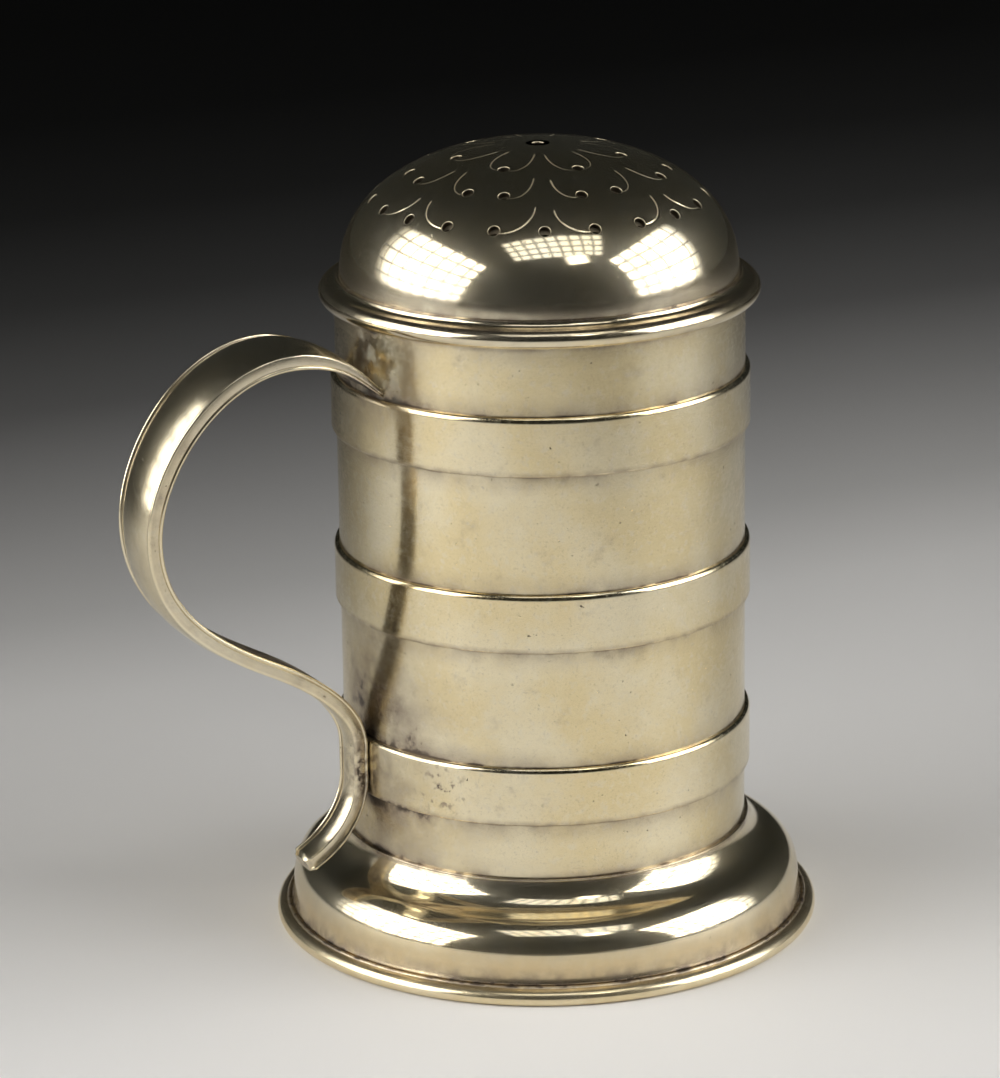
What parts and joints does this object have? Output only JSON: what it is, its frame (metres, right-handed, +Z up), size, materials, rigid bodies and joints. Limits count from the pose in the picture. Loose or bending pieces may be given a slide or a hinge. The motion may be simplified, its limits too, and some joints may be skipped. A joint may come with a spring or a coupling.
{
  "type": "sugar caster",
  "caption": "Straight-sided silver sugar caster with applied bands, a spread foot, a scroll strap handle and a pierced dome cover that pulls off and turns in the mouth.",
  "frame": {"origin": "on the axis of the body, in the plane of the table that the foot ring stands on", "axes": "+Z up along the body's axis; the handle points along -X; +Y is to the left of someone who looks along +X"},
  "size_m": [0.1031, 0.0786, 0.1138],
  "materials": {
    "silver_satin": "worn satin silver with light tarnish",
    "silver_polished": "polished silver",
    "silver_handle": "handled silver, bright on the lips and tarnished in the grooves beside them",
    "silver_inside": "unpolished silver, dull inside"
  },
  "bodies": {
    "caster_body": {"body_tube": "silver_satin", "floor_disc": "silver_inside", "foot": "silver_polished", "foot_ring": "silver_polished", "lower_band": "silver_satin", "middle_band": "silver_satin", "upper_band": "silver_satin", "handle_strap": "silver_handle"},
    "cover_sleeve": {"cover_bezel": "silver_inside"},
    "cover_top": {"cover_rim": "silver_polished", "cover_dome": "silver_polished"}
  },
  "joints": [
    {"name": "cover_lift", "type": "slide", "parent": "caster_body", "child": "cover_sleeve", "axis": [0, 0, 1], "range_m": [0, 0.04]},
    {"name": "cover_turn", "type": "hinge", "parent": "cover_sleeve", "child": "cover_top", "pos_m": [0, 0, 0.0955], "axis": [0, 0, 1], "continuous": true}
  ]
}
